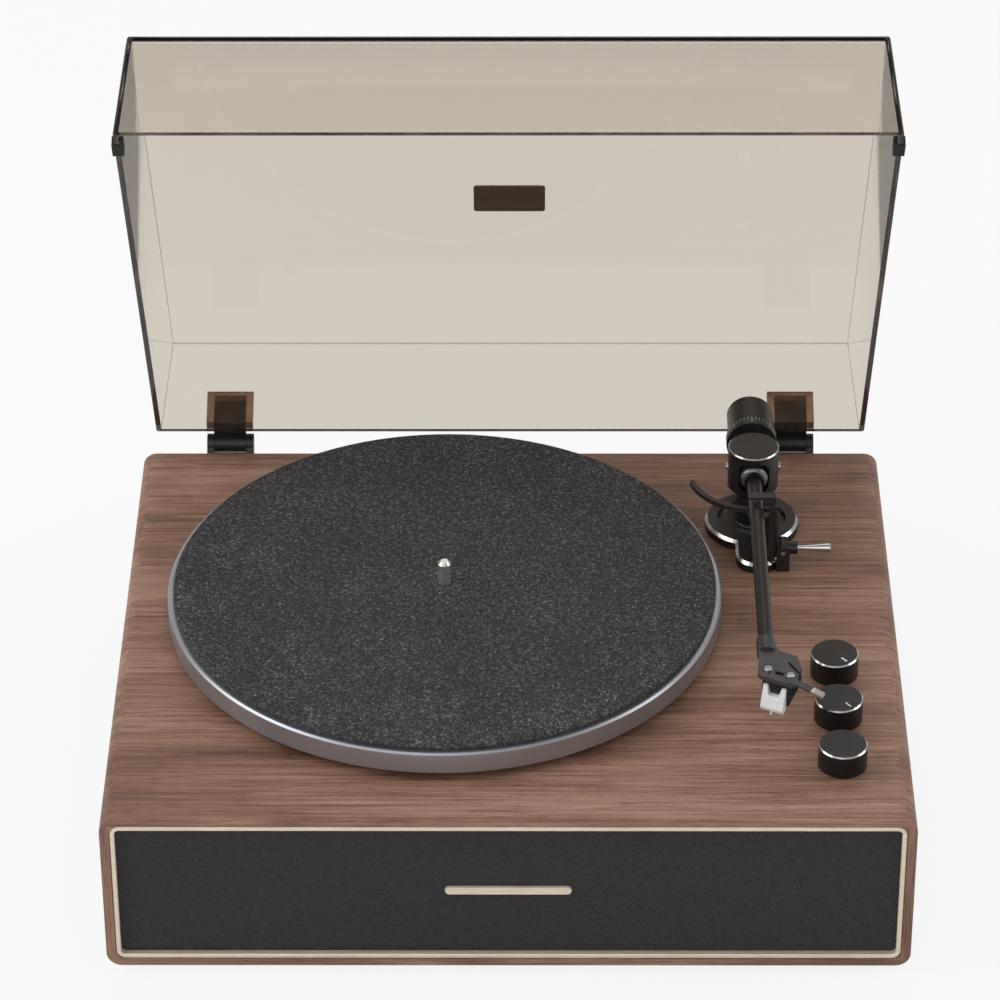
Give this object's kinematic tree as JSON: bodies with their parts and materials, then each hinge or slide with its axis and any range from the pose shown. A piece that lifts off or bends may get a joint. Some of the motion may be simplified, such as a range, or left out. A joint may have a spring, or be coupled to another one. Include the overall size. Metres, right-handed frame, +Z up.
{
  "type": "record player",
  "caption": "Record player in a wooden cabinet with speakers behind a cloth front, belt-driven platter, straight tonearm, knobs and a hinged smoked dust cover",
  "frame": {"origin": "under the middle of the outer box with the cover open, on the surface the feet stand on", "axes": "+X to the player's right, +Y to its back, +Z up along the record spindle"},
  "size_m": [0.42, 0.3933, 0.4232],
  "materials": {
    "walnut": "satin walnut veneer",
    "board": "black painted board",
    "rubber_black": "soft black rubber",
    "champagne": "brushed champagne anodised",
    "bronze_plate": "dark bronze plate",
    "cloth": "woven black speaker cloth",
    "black_plastic": "fine satin black",
    "paper": "black pressed paper",
    "smoked": "clear smoked acrylic",
    "smoked_brown": "dark smoked brown plastic",
    "steel": "turned steel",
    "zinc_screws": "plated screws",
    "platter_aluminium": "turned aluminium",
    "mat": "speckled grey mat",
    "brass": "turned brass",
    "sub_platter_plastic": "moulded black",
    "motor": "pressed steel can",
    "knob_black": "black anodised, bright edge",
    "arm_black": "satin black",
    "cartridge_black": "black plastic",
    "cartridge_white": "white plastic",
    "circuit": "green circuit board"
  },
  "bodies": {
    "cabinet": {"cabinet_shell": "walnut", "feet": "rubber_black", "front_baffle": "board", "grille_trim": "champagne", "grille_frame": "black_plastic", "grille_cloth": "cloth", "grille_badge": "champagne", "speaker_baskets": "black_plastic", "speaker_cones": "paper", "back_panel": "board", "rear_sockets": "black_plastic", "hinge_bases": "black_plastic", "hinge_screws": "zinc_screws", "pivot_pins": "steel", "bearing_housing": "brass", "motor_grommets": "rubber_black", "motor_can": "motor", "drive_belt": "rubber_black", "control_pots": "black_plastic", "panel_nuts": "zinc_screws", "tonearm_base": "arm_black", "bearing_column": "brass", "arm_rest": "black_plastic", "lift_cylinder": "black_plastic", "lever_bracket": "black_plastic", "board_standoffs": "steel", "main_board": "circuit", "board_screws": "zinc_screws", "board_parts": "black_plastic", "wood_screws": "zinc_screws", "panel_screws": "zinc_screws"},
    "cover": {"dust_cover": "smoked", "cover_badge": "bronze_plate", "cover_bumpers": "rubber_black", "hinge_tongues": "black_plastic", "hinge_sockets": "smoked_brown"},
    "turntable": {"spindle": "steel", "sub_platter": "sub_platter_plastic", "platter": "platter_aluminium", "platter_mat": "mat"},
    "motor_rotor": {"motor_pulley": "steel"},
    "volume": {"volume_knob": "knob_black"},
    "source": {"source_knob": "knob_black"},
    "power": {"power_knob": "knob_black"},
    "yoke": {"yoke_housing": "arm_black", "yoke_cap": "arm_black", "yoke_spindle": "steel", "pivot_screws": "zinc_screws"},
    "arm": {"arm_hub": "arm_black", "arm_tube": "arm_black", "weight_shaft": "steel", "headshell": "arm_black", "headshell_screws": "zinc_screws", "cartridge_body": "cartridge_black", "stylus_carrier": "cartridge_white"},
    "weight_slide": {"weight_bush": "brass"},
    "weight": {"counterweight": "arm_black"},
    "dial": {"weight_dial": "arm_black"},
    "cue": {"cue_lever": "black_plastic"},
    "lift": {"lift_bar": "black_plastic"}
  },
  "joints": [
    {"name": "cover_hinge", "type": "hinge", "parent": "cabinet", "child": "cover", "pos_m": [0, 0.15204, 0.1021], "axis": [-1, 0, 0], "range_deg": [-61.7, 0]},
    {"name": "platter_spin", "type": "hinge", "parent": "cabinet", "child": "turntable", "pos_m": [-0.035, -0.01516, 0.122], "axis": [0, 0, -1], "continuous": true},
    {"name": "motor_spin", "type": "hinge", "parent": "cabinet", "child": "motor_rotor", "pos_m": [-0.10925, 0.05908, 0.101], "axis": [0, 0, -1], "continuous": true},
    {"name": "volume_turn", "type": "hinge", "parent": "cabinet", "child": "volume", "pos_m": [0.1735, -0.07016, 0.101], "axis": [0, 0, 1], "range_deg": [-8, 292]},
    {"name": "source_turn", "type": "hinge", "parent": "cabinet", "child": "source", "pos_m": [0.1735, -0.11016, 0.101], "axis": [0, 0, 1], "range_deg": [-30, 60]},
    {"name": "power_turn", "type": "hinge", "parent": "cabinet", "child": "power", "pos_m": [0.1735, -0.15016, 0.101], "axis": [0, 0, 1], "range_deg": [0, 60]},
    {"name": "arm_swing", "type": "hinge", "parent": "cabinet", "child": "yoke", "pos_m": [0.135, 0.06984, 0.141], "axis": [0, 0, -1], "range_deg": [0, 50]},
    {"name": "arm_tilt", "type": "hinge", "parent": "yoke", "child": "arm", "pos_m": [0.135, 0.06984, 0.141], "axis": [-1, 0, 0], "range_deg": [0, 3.29]},
    {"name": "weight_travel", "type": "slide", "parent": "arm", "child": "weight_slide", "axis": [0, 1, 0], "range_m": [-0.002, 0.002]},
    {"name": "weight_turn", "type": "hinge", "parent": "weight_slide", "child": "weight", "pos_m": [0.135, 0.09884, 0.141], "axis": [0, 1, 0], "range_deg": [-360, 360]},
    {"name": "dial_turn", "type": "hinge", "parent": "weight", "child": "dial", "pos_m": [0.135, 0.09884, 0.141], "axis": [0, 1, 0], "range_deg": [-170, 170]},
    {"name": "cue_turn", "type": "hinge", "parent": "cabinet", "child": "cue", "pos_m": [0.1505, 0.03084, 0.113], "axis": [0, -1, 0], "range_deg": [0, 35]},
    {"name": "lift_rise", "type": "slide", "parent": "cabinet", "child": "lift", "axis": [0, 0, 1], "range_m": [0, 0.002]}
  ],
  "couplings": [
    {"joint": "motor_spin", "follows": "platter_spin", "ratio": 12.5},
    {"joint": "arm_tilt", "follows": "cue_turn", "ratio": 0.094082},
    {"joint": "lift_rise", "follows": "cue_turn", "m_per_rad": 0.003274},
    {"joint": "weight_turn", "follows": "weight_travel", "rad_per_m": 3141.6}
  ]
}
